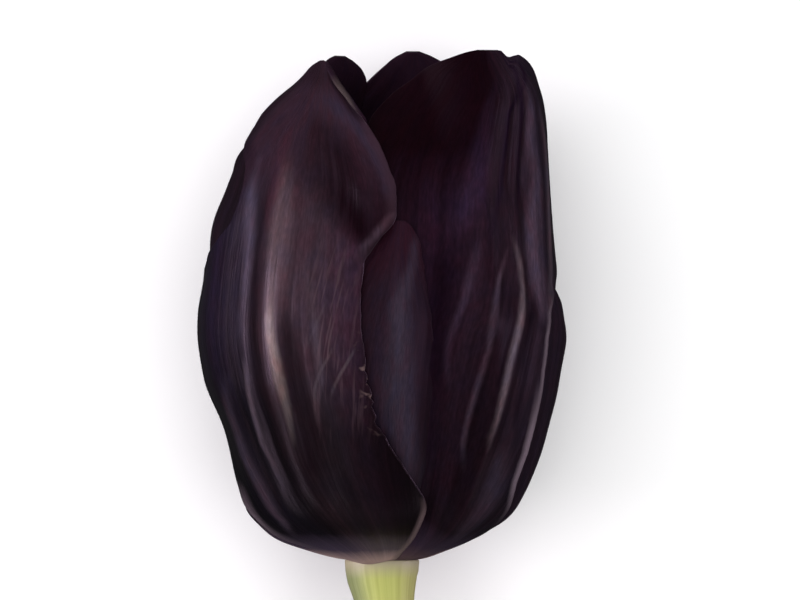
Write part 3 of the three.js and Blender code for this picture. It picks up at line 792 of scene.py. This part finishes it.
def tepalPoint(tepal, row, across, tipHeight):
    # the point, and its places in the two UV maps
    height = row["height"]
    degrees = row["middle"] + row["half"] * across
    perDegree = math.radians(aroundCup(row["radii"], math.radians(degrees)))
    veinPlace = (degrees - row["midVein"]) / row["spread"]
    places = ((0.5 + 0.5 * veinPlace, height / skinScales["veinLength"]),
              ((1 + across) * row["half"] * perDegree, (1 - across) * row["half"] * perDegree))
    calm = (smooth(height, *petalMesh["footFade"])
            * smooth(tipHeight - height, *petalMesh["tipFade"]))
    rise = tepalRise(tepal, height, degrees, veinPlace, calm)
    degrees, rise = rollMargin(tepal, row, across, degrees, rise, perDegree)
    point = cupPoint(row, degrees, whorls[tepal["whorl"]]["layer"], rise)
    if "dent" in tepal:
        # a small notch in the top edge
        dent = tepal["dent"]
        point.y -= (dent["depth"] * bump(point.x, dent["across"], dent["width"])
                    * smooth(height, dent["start"], tipHeight - 0.5))
    if "footDrop" in tepal:
        drop = tepal["footDrop"]
        point.y -= (drop["depth"] * bump(degrees, drop["degrees"], drop["reach"])
                    * (1 - smooth(height, *drop["fade"])))
    point.z = max(point.z, tableLevel)
    return point, places


def makeTepal(name, tepal):
    margins = [knotCurve(tepal["from"]), knotCurve(tepal["to"])]
    tipHeight = tepal["to"][-1][0]
    tipAlong = alongAtHeight(tipHeight)
    tepal["rollCurves"] = {side: knotCurve(knots) for side, knots in tepal.get("rolls", {}).items()}
    if "midVein" in tepal:
        tepal["midCurve"] = knotCurve(tepal["midVein"])
        tepal["spreadCurve"] = knotCurve(tepal["veinSpread"])
    bm = bmesh.new()
    bmesh.ops.create_grid(bm, x_segments=petalMesh["columns"], y_segments=petalMesh["rows"],
                          size=0.5)
    uvLayers = [bm.loops.layers.uv.new(layer) for layer in ("veins", "margin")]
    weights = bm.verts.layers.deform.new()
    rows, places = {}, {}
    for vert in bm.verts:
        across, share = vert.co.x * 2, min(1.0, max(0.0, vert.co.y + 0.5))
        key = round(share * petalMesh["rows"])
        if key not in rows:
            rows[key] = tepalRow(tepal, margins, tipAlong, share)
        vert.co, places[vert] = tepalPoint(tepal, rows[key], across, tipHeight)
        vert[weights][0] = 1 - petalMesh["edgeThinning"] * abs(across) ** 3
    for face in bm.faces:
        for loop in face.loops:
            for layer, place in zip(uvLayers, places[loop.vert]):
                loop[layer].uv = place
    pieceName = "".join(word.capitalize() for word in name.split("_"))
    skin = petalSkin(pieceName + "Skin", {**plainSkin, **skinLooks[name]})
    inside = insideSkin
    if "insideLines" in tepal:
        inside = petalSkin(pieceName + "InsideSkin", {
            **plainSkin, **insideLook, "edgeLines": tepal["insideLines"],
        })
    piece = makePiece(pieceName, bm, name, [skin, inside])
    piece.vertex_groups.new(name="body")
    wall = piece.modifiers.new("wall", "SOLIDIFY")
    wall.thickness = whorls[tepal["whorl"]]["thickness"] * mm
    wall.offset = -1
    wall.vertex_group = "body"
    wall.material_offset = 1


insideSkin = petalSkin("InsideSkin", {**plainSkin, **insideLook})
for name, tepal in tepals.items():
    makeTepal(name, tepal)


# Round bodies: a grid wrapped into rings, one row of it to each ring
def wrapRings(bm, rings, sides):
    uvLayer = bm.loops.layers.uv["around"]
    last = len(rings) - 1
    made = bmesh.ops.create_grid(bm, x_segments=sides, y_segments=last, size=0.5)["verts"]
    for face in {face for vert in made for face in vert.link_faces}:
        for loop in face.loops:
            loop[uvLayer].uv = (loop.vert.co.x + 0.5, loop.vert.co.y + 0.5)
    for vert in made:
        turn = (vert.co.x + 0.5) * 2 * math.pi
        centre, up, sideways, radius = rings[round((vert.co.y + 0.5) * last)]
        reach = radius(turn) if callable(radius) else radius
        vert.co = centre + (up * math.cos(turn) + sideways * math.sin(turn)) * reach
    bmesh.ops.remove_doubles(bm, verts=made, dist=0.0005)


def ringAt(centre, heading, radius):
    heading = heading.normalized()
    up = Vector((0, 0, 1))
    up = (up - heading * up.dot(heading)).normalized()
    return centre, up, heading.cross(up), radius


def uprightRing(height, radius, middle=Vector((0, 0, 0))):
    return ringAt(middle + Vector((0, height, 0)), straight, radius)


def ringMesh():
    bm = bmesh.new()
    bm.loops.layers.uv.new("around")
    return bm


def heightShare(place, band):
    # 0 to 1 over a band of heights, in metres from the shoulder
    ends = (axisStart.y + band[0], axisStart.y + band[1])
    return mapRange(splitUp(place)["Y"], ends)


print("stem")
stem = {
    "radius": 3.6, "length": 150, "sides": 56, "stations": 150, "headingStep": 0.4,
    # mm below the shoulder where it starts to bend, mm that it takes to drop, and its bend sideways
    "bendStart": 2, "drop": 128, "sideBend": 4.5, "sideTurn": 0.9 * math.pi,
    "flare": 6, "neck": 0.35,    # mm under the shoulder, where it starts and ends to widen
    "shoulder": 4.5, "column": 2.85,
    "creamBand": (-0.0022, -0.0002), "cutBand": (-0.1488, -0.1496),    # metres from the shoulder
    "restAngle": math.pi / 16,   # half of the side that the stem lies on
    "ribs": 0.05,       # mm, shallow lengthwise ribs
    "knobs": 0.10,      # mm, soft unevenness in the thickness
    "inset": 0.04,      # mm, keeps both of them within the stem's thickness
}
# the cut face, slightly hollow towards the middle: share of the radius, mm of hollow
cutFace = [(0, 0.55), (0.25, 0.5), (0.5, 0.32), (0.75, 0.12), (0.93, 0.0), (0.985, 0.02)]
# the shoulder under the tepals' feet and the column inside them: height, radius
columnRings = [
    (-0.08, stem["shoulder"]), (0.02, 4.46), (0.05, 4.2), (0.02, 3.9), (0.02, 2.9),
    (0.2, stem["column"]), (1.4, stem["column"]), (2.55, stem["column"]),
    (2.68, 2.7), (bloom["columnTop"], 2.4), (bloom["columnTop"], 0),
]


def stemCentre(height):
    gone = min(1.0, max(0.0, (-height - stem["bendStart"]) / stem["drop"]))
    side = stem["sideBend"] * math.sin(stem["sideTurn"] * gone)
    low = tableLevel + stem["radius"] * math.cos(stem["restAngle"])
    return Vector((side, height, low * smooth(gone, 0, 1)))


def stemRadius(height):
    flare = smooth(height, -stem["flare"], -stem["neck"])
    base = blend(stem["radius"], stem["shoulder"], flare)

    def around(turn):
        x, y = math.cos(turn), math.sin(turn)
        ribs = stem["ribs"] * noiseAt(x * 4, y * 4, height * 0.01)
        knobs = stem["knobs"] * noiseAt(x, y, height * 0.07 + 5)
        return base + (1 - flare) * (ribs + knobs - stem["inset"])
    return around


def makeStem():
    cut, step = -stem["length"], stem["headingStep"]
    heading = stemCentre(cut + 0.5) - stemCentre(cut)
    rings = [ringAt(stemCentre(cut) + heading.normalized() * hollow, heading, stem["radius"] * share)
             for share, hollow in cutFace]
    for station in range(1, stem["stations"] + 1):
        height = blend(cut, -stem["neck"], station / stem["stations"])
        heading = stemCentre(height + step) - stemCentre(height - step)
        rings.append(ringAt(stemCentre(height), heading, stemRadius(height)))
    rings += [uprightRing(height, radius) for height, radius in columnRings]
    bm = ringMesh()
    wrapRings(bm, rings, stem["sides"])
    for vert in bm.verts:
        vert.co.z = max(vert.co.z, tableLevel)
    makePiece("FlowerStem", bm, "stem", [stemSkin()])


def stemSkin():
    material, nodes = newMaterial("stemSkin")
    place = nodes.new("ShaderNodeTexCoord").outputs["Object"]
    around = uvPlace(nodes, "around")
    fibres = stretchedNoise(around, (60, 5, 1), 4)
    patches = stretchedNoise(place, (160, 60, 160), 3)
    color = colorRamp(fibres, [
        (0.3, (0.31, 0.325, 0.080)), (0.5, (0.40, 0.415, 0.115)), (0.72, (0.49, 0.50, 0.155)),
    ])
    color = mixColors(times(patches, 0.55), color, (0.36, 0.38, 0.12))
    # greyer along the left, and browner along the right, where it is painted shade
    sides = colorRamp(splitUp(around)["X"], [
        (0.05, (1, 1, 1)), (0.14, (0.90, 0.84, 0.92)), (0.25, (0.85, 0.78, 1.0)),
        (0.75, (0.45, 0.48, 0.75)), (0.86, (0.52, 0.56, 0.78)), (0.94, (0.86, 0.88, 0.95)),
        (0.99, (1, 1, 1)),
    ])
    color = shaded(color, sides)
    # greyish cream just under the petals, and a pale moist cut
    underBloom = heightShare(place, stem["creamBand"])
    color = mixColors(underBloom, color, (0.34, 0.30, 0.20))
    cutEnd = heightShare(place, stem["cutBand"])
    color = mixColors(cutEnd, color, (0.55, 0.56, 0.30))
    plugIn(nodes["Principled BSDF"], {
        "Base Color": color, "Roughness": 0.42, "IOR": 1.43, "Specular IOR Level": 0.4,
        "Normal": bumpNode(patches, 0.0002, 0.25, bumpNode(fibres, 0.00012, 0.5)),
    })
    return material


makeStem()

print("pistil")
pistil = {
    "foot": 3.05, "height": 20, "rings": 90, "sides": 72,
    "radii": [(0, 1.4), (0.09, 1.5), (0.18, 2.4), (0.35, 2.9), (0.7, 2.6), (0.84, 1.9),
              (0.92, 3.1), (0.97, 3.3), (1, 2.2)],
    "lobes": [(0, 0), (0.3, 0.1), (0.8, 0.14), (0.92, 0.3), (1, 0.4)],
    "groove": 0.10, "frill": 0.12, "frillWaves": 21,
    "mouth": [(0.7, 0.15), (0.35, 0.5), (0, 0.6)],    # share of the top's radius, mm sunk
}


def makePistil():
    radii, lobes = knotCurve(pistil["radii"]), knotCurve(pistil["lobes"])
    top = pistil["foot"] + pistil["height"]

    def around(share, scale=1):
        def radius(turn):
            groove = pistil["groove"] * bump(math.cos(3 * turn), -1, 0.25) * smooth(share, 0.12, 0.3)
            frill = pistil["frill"] * smooth(share, 0.86, 0.94) * math.sin(pistil["frillWaves"] * turn)
            lobed = radii(share) * (1 + lobes(share) * math.cos(3 * turn))
            return (lobed - groove + frill) * scale
        return radius

    rings = [uprightRing(pistil["foot"], 0)]
    for step in range(pistil["rings"] + 1):
        share = step / pistil["rings"]
        rings.append(uprightRing(pistil["foot"] + pistil["height"] * share, around(share)))
    rings += [uprightRing(top - sunk, around(1.0, scale)) for scale, sunk in pistil["mouth"]]
    bm = ringMesh()
    wrapRings(bm, rings, pistil["sides"])
    makePiece("FlowerPistil", bm, "pistil", [pistilSkin()])


def pistilSkin():
    material, nodes = newMaterial("pistilSkin")
    place = nodes.new("ShaderNodeTexCoord").outputs["Object"]
    around = uvPlace(nodes, "around")
    fibres = stretchedNoise(around, (50, 8, 1), 3)
    grains = stretchedNoise(place, (2200, 2200, 2200), 3)
    ovary = colorRamp(fibres, [(0.3, (0.22, 0.26, 0.10)), (0.7, (0.36, 0.40, 0.20))])
    stigma = colorRamp(grains, [(0.3, (0.42, 0.36, 0.16)), (0.7, (0.62, 0.56, 0.32))])
    share = colorRamp(splitUp(around)["Y"], [(0.80, (0, 0, 0)), (0.87, (1, 1, 1))])
    plugIn(nodes["Principled BSDF"], {
        "Base Color": mixColors(share, ovary, stigma), "Roughness": 0.5,
        "Normal": bumpNode(grains, 0.0001, 0.4),
    })
    return material


makePistil()

print("stamens")
stamens = {
    "count": 6,
    "inner": 1.9, "outer": 2.9, "ringBottom": 3.05, "ringHeight": 0.8, "ringSides": 60,
    "foot": 0.9, "neck": 0.45, "start": 2.4, "end": 4.7, "top": 12.5, "steps": 24, "sides": 16,
}
anther = {
    "length": 9, "radius": 1.25, "reach": 5.1, "overlap": 1, "steps": 36, "sides": 28,
    "grain": 0.05,    # mm
    "band": (0.008, 0.0115),    # metres from the shoulder, where the filaments turn dark
}


def filamentRings(outwards):
    rings = []
    for step in range(stamens["steps"] + 1):
        share = step / stamens["steps"]
        reach = blend(stamens["start"], stamens["end"], math.sin(share * math.pi / 2))
        height = blend(stamens["ringBottom"] + 0.3, stamens["top"], share)
        radius = blend(stamens["foot"], stamens["neck"], share ** 0.8)
        rings.append(uprightRing(height, radius, outwards * reach))
    return [ringAt(rings[0][0], straight, 0), *rings, ringAt(rings[-1][0], straight, 0)]


def antherRings(outwards, turn):
    # four pollen sacs with a furrow between each two
    def around(share, width):
        def radius(angle):
            lobe = 0.16 * abs(math.cos(2 * (angle - turn))) ** 0.6 - 0.12
            grain = anther["grain"] * noiseAt(math.cos(angle) * 3, share * 22, math.sin(angle) * 3)
            return width * (1 + lobe) + grain * (width > 0.2)
        return radius

    rings = []
    for step in range(anther["steps"] + 1):
        share = step / anther["steps"]
        height = stamens["top"] - anther["overlap"] + anther["length"] * share
        width = anther["radius"] * math.sqrt(max(0.0, 1 - abs(2 * share - 1) ** 3.2))
        middle = outwards * (anther["reach"] + 0.3 * share)
        rings.append(uprightRing(height, around(share, width), middle))
    return rings


def makeStamens():
    bm = ringMesh()
    low, high = stamens["ringBottom"], stamens["ringBottom"] + stamens["ringHeight"]
    inner, outer = stamens["inner"], stamens["outer"]
    ring = [(low, inner), (low, outer), ((low + high) / 2, outer + 0.08), (high, outer),
            (high + 0.05, (inner + outer) / 2), (high, inner), (low, inner)]
    wrapRings(bm, [uprightRing(height, radius) for height, radius in ring], stamens["ringSides"])
    for i in range(stamens["count"]):
        turn = (i + 0.5) / stamens["count"] * 2 * math.pi
        outwards = Vector((math.sin(turn), 0, math.cos(turn)))
        wrapRings(bm, filamentRings(outwards), stamens["sides"])
        wrapRings(bm, antherRings(outwards, turn), anther["sides"])
    makePiece("FlowerStamens", bm, "stamens", [stamenSkin()])


def stamenSkin():
    material, nodes = newMaterial("stamenSkin")
    place = nodes.new("ShaderNodeTexCoord").outputs["Object"]
    grains = stretchedNoise(place, (2600, 2600, 2600), 3)
    pollen = colorRamp(grains, [(0.35, (0.010, 0.006, 0.012)), (0.7, (0.05, 0.035, 0.04))])
    anthers = heightShare(place, anther["band"])
    plugIn(nodes["Principled BSDF"], {
        "Base Color": mixColors(anthers, (0.10, 0.09, 0.05), pollen), "Roughness": 0.8,
        "Normal": bumpNode(grains, 0.00015, 0.8),
    })
    return material


makeStamens()

# Floor, soft light from both sides and a plain white surround
print("floor and lights")
studio = {
    "floor": (0.92, 0.92, 0.92), "floorSize": 60, "surround": 0.30,
    "aim": 0.02, "level": 0.03,    # metres up the bloom: where the lights point, and stand
    "leftTint": (1.0, 0.89, 1.0), "rightTint": (0.92, 0.74, 1.0),
}
bm = bmesh.new()
bmesh.ops.create_grid(bm, x_segments=1, y_segments=1, size=studio["floorSize"])
floorMesh = bpy.data.meshes.new("floor")
bm.to_mesh(floorMesh)
bm.free()
floor = bpy.data.objects.new("floor", floorMesh)
bpy.context.scene.collection.objects.link(floor)
floorPaint, nodes = newMaterial("floorPaint")
plugIn(nodes["Principled BSDF"], {
    "Base Color": studio["floor"], "Roughness": 0.9, "Specular IOR Level": 0.1,
})
floorMesh.materials.append(floorPaint)
floor.visible_glossy = False


def addLight(name, place, size, power, color=(1, 1, 1), glossy=True):
    lamp = bpy.data.lights.new(name, "AREA")
    lamp.shape = "RECTANGLE"
    lamp.size, lamp.size_y = size
    lamp.energy = power
    lamp.color = color
    light = bpy.data.objects.new(name, lamp)
    bpy.context.scene.collection.objects.link(light)
    light.location = place
    aim = axisStart + Vector((0, studio["aim"], 0)) - Vector(place)
    light.rotation_euler = aim.to_track_quat("-Z", "Y").to_euler()
    light.visible_camera = False
    light.visible_glossy = glossy


beside = (axisStart + Vector((0, studio["level"], 0))).y
addLight("leftStrip", (-0.75, beside, 0.22), (0.38, 0.08), 4.1, studio["leftTint"])
addLight("leftFill", (-0.76, beside, 0.20), (1.2, 0.10), 0.95, studio["leftTint"])
addLight("rightStrip", (0.75, beside - 0.02, 0.13), (0.30, 0.05), 1.0, studio["rightTint"])
addLight("rightFill", (0.76, beside, 0.12), (1.0, 0.07), 0.3, studio["rightTint"])
addLight("footLeft", (-0.52, beside - 0.52, 0.17), (0.35, 0.10), 0.3)
addLight("footRight", (0.52, beside - 0.52, 0.17), (0.35, 0.10), 0.3)
addLight("mouthFill", (0.08, beside + 0.8, 0.14), (0.5, 0.16), 1.6, glossy=False)
addLight("overhead", (0.0, beside + 0.2, 1.6), (2.2, 2.2), 39.0, glossy=False)

world = bpy.data.worlds.new("surround")
bpy.context.scene.world = world
world.use_nodes = True
direction = world.node_tree.nodes.new("ShaderNodeTexCoord").outputs["Generated"]
skyShade = colorRamp(splitUp(direction)["Z"], [
    (0.0, (0.12,) * 3), (0.06, (1, 1, 1)), (0.5, (0.55,) * 3), (1.0, (0.25,) * 3),
])
plugIn(world.node_tree.nodes["Background"], {"Color": skyShade, "Strength": studio["surround"]})
bpy.context.scene.view_settings.view_transform = "Standard"
